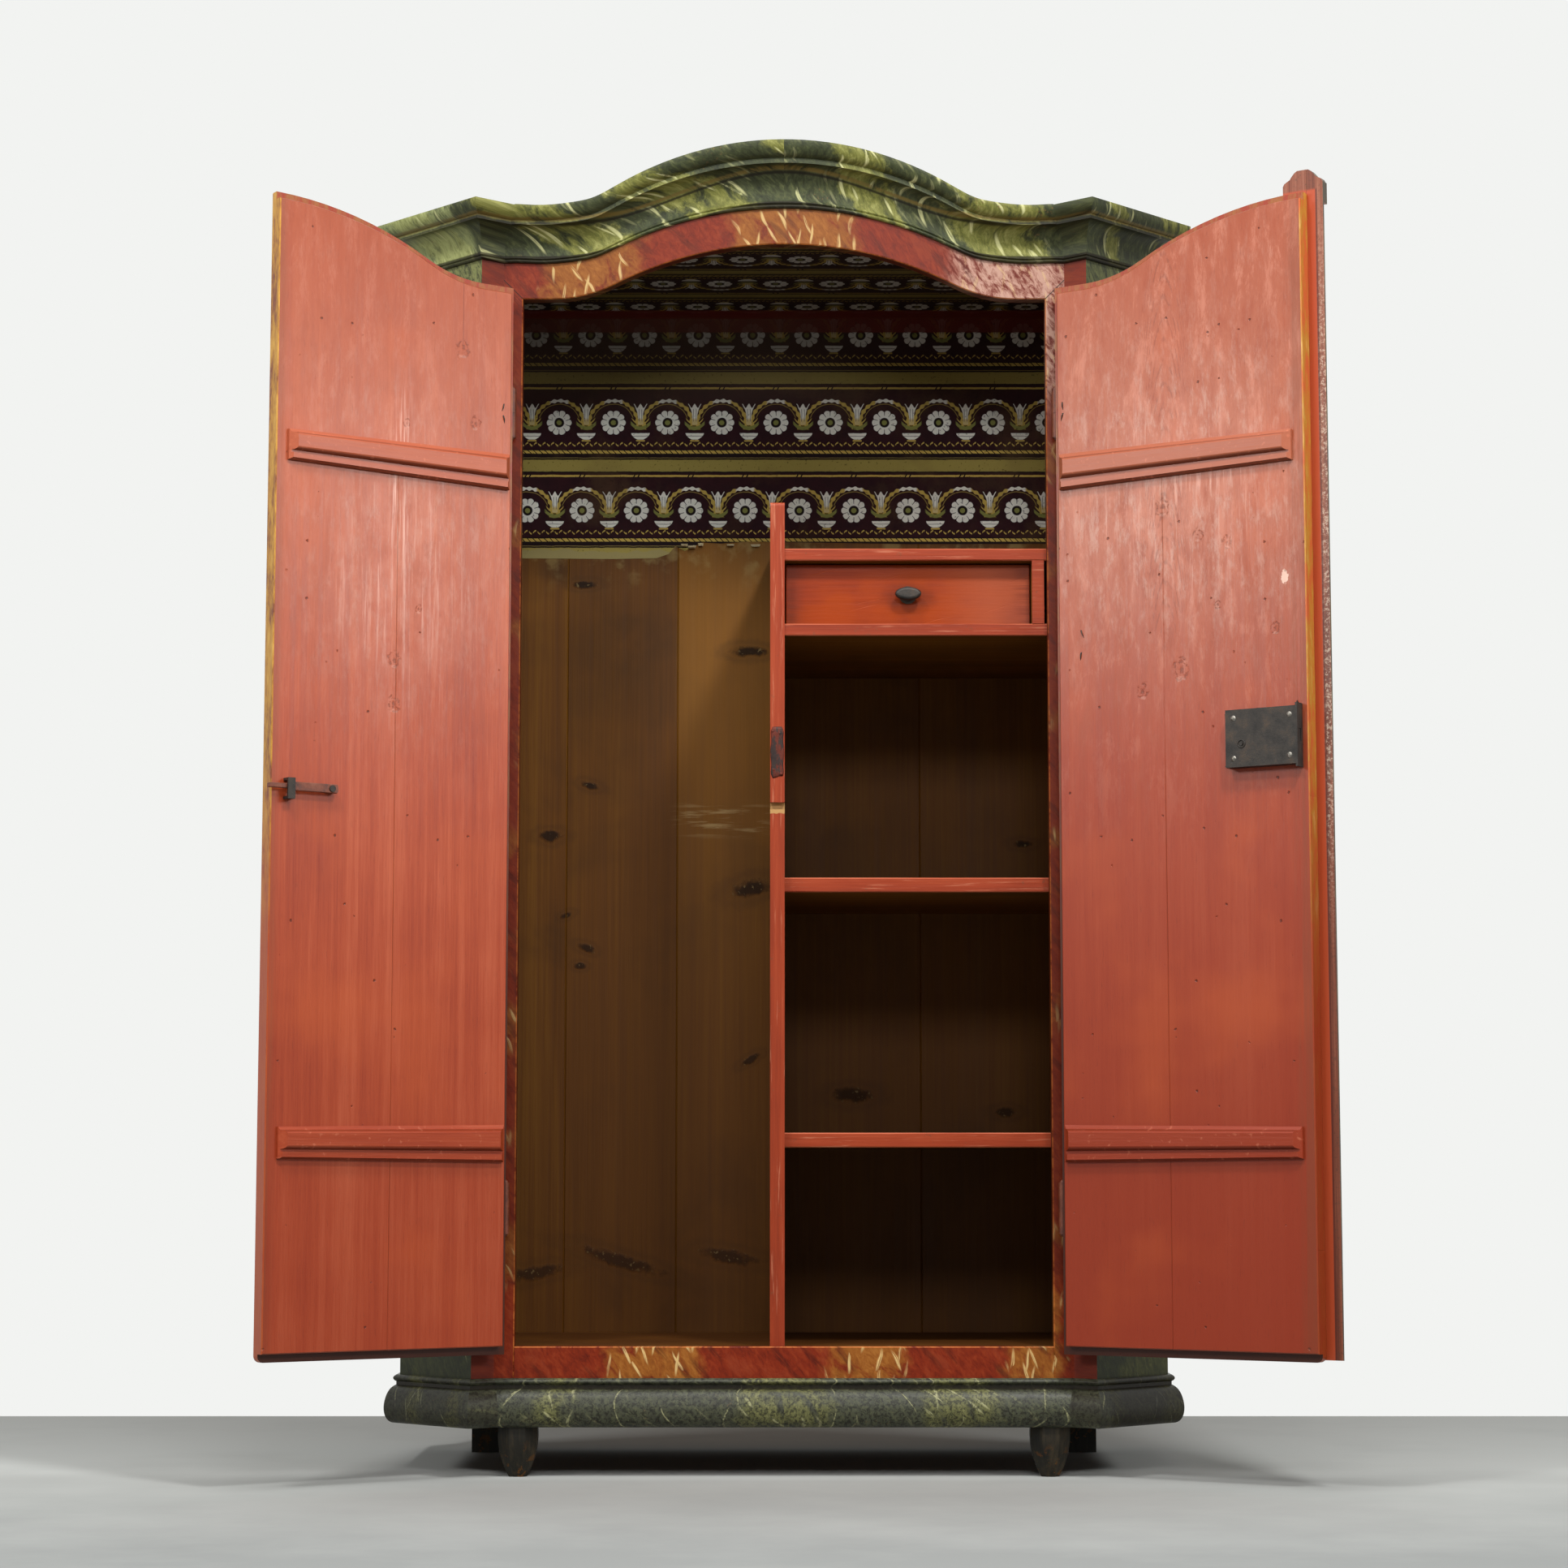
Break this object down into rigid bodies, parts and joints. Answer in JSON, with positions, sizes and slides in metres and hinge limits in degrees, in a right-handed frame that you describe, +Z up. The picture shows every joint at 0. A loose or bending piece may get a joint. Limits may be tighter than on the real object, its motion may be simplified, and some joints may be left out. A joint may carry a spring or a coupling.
{
  "type": "two-door cupboard",
  "caption": "Tall two-door painted cupboard with an arched moulded cornice, canted corners, battened doors standing open, and a papered inside with partition, shelves and a small drawer.",
  "frame": {"origin": "on the floor, under the middle of the whole box with both doors open as pictured", "axes": "+Z up, -Y out of the front (the doors' side), +X to the right as seen from the front"},
  "size_m": [1.4738, 0.7458, 1.92],
  "materials": {
    "green_marbled_paint": "marbled oil paint on softwood, worn",
    "red_marbled_paint": "red marbled oil paint with gold veins, worn",
    "red_door_paint": "thin red paint on softwood boards, grain showing",
    "side_paint": "plain dark paint on softwood",
    "bare_pine": "bare aged softwood with knots",
    "aged_shelf_wood": "bare aged softwood, reddish front edges",
    "dark_foot_paint": "dark paint on softwood",
    "wrought_iron": "forged iron, dark and slightly rusted",
    "printed_paper": "block-printed lining paper, matte"
  },
  "bodies": {
    "carcass": {"arched_top_rail": "red_marbled_paint", "back_board_1": "bare_pine", "back_board_2": "bare_pine", "back_board_3": "bare_pine", "back_board_4": "bare_pine", "base_cant_left": "green_marbled_paint", "base_cant_right": "green_marbled_paint", "base_front": "green_marbled_paint", "base_side_left": "green_marbled_paint", "base_side_right": "green_marbled_paint", "bottom_front_rail": "red_marbled_paint", "ceiling_board": "bare_pine", "corner_post_left": "green_marbled_paint", "corner_post_right": "green_marbled_paint", "cornice_cant_left": "green_marbled_paint", "cornice_cant_right": "green_marbled_paint", "cornice_front": "green_marbled_paint", "cornice_side_left": "green_marbled_paint", "cornice_side_right": "green_marbled_paint", "drawer_case_bottom": "aged_shelf_wood", "drawer_case_stile": "aged_shelf_wood", "drawer_case_top": "aged_shelf_wood", "floor_board": "bare_pine", "frame_hinges": "wrought_iron", "front_foot_left": "dark_foot_paint", "front_foot_right": "dark_foot_paint", "front_stile_left": "red_marbled_paint", "front_stile_right": "red_marbled_paint", "lower_shelf": "aged_shelf_wood", "partition": "aged_shelf_wood", "rear_foot_left": "dark_foot_paint", "rear_foot_right": "dark_foot_paint", "side_board_left": "side_paint", "side_board_right": "side_paint", "upper_shelf": "aged_shelf_wood", "wallpaper_back": "printed_paper", "wallpaper_ceiling": "printed_paper"},
    "left_door": {"left_door_hinges": "wrought_iron", "left_door_lower_batten": "red_door_paint", "left_door_panel": "red_door_paint", "left_door_upper_batten": "red_door_paint", "left_latch_guide": "wrought_iron", "left_latch_pivot": "wrought_iron"},
    "right_door": {"cover_strip": "red_door_paint", "cover_strip_capital": "red_door_paint", "lock_bolt_guides": "wrought_iron", "lock_case": "wrought_iron", "lock_rivets": "wrought_iron", "right_door_hinges": "wrought_iron", "right_door_lower_batten": "red_door_paint", "right_door_panel": "red_door_paint", "right_door_upper_batten": "red_door_paint"},
    "drawer": {"drawer_back": "bare_pine", "drawer_bottom": "bare_pine", "drawer_front": "aged_shelf_wood", "drawer_knob": "wrought_iron", "drawer_side_left": "bare_pine", "drawer_side_right": "bare_pine"},
    "left_latch": {"left_latch_bar": "wrought_iron"},
    "lock_bolt": {"lock_bolt": "wrought_iron"}
  },
  "joints": [
    {"name": "left_door_hinge", "type": "hinge", "parent": "carcass", "child": "left_door", "pos_m": [-0.41738, -0.11809, 0.9], "axis": [0, 0, -1], "range_deg": [-145.5, 12]},
    {"name": "right_door_hinge", "type": "hinge", "parent": "carcass", "child": "right_door", "pos_m": [0.37262, -0.11809, 0.9], "axis": [0, 0, 1], "range_deg": [-147.2, 12]},
    {"name": "drawer_slide", "type": "slide", "parent": "carcass", "child": "drawer", "axis": [0, -1, 0], "range_m": [0, 0.28]},
    {"name": "left_latch_lift", "type": "hinge", "parent": "left_door", "child": "left_latch", "pos_m": [-0.64649, -0.31438, 0.95207], "axis": [-0.5664, 0.8241, 0], "range_deg": [-5, 0]},
    {"name": "lock_bolt_slide", "type": "slide", "parent": "right_door", "child": "lock_bolt", "axis": [0.8406, -0.5417, 0], "range_m": [0, 0.012]}
  ]
}
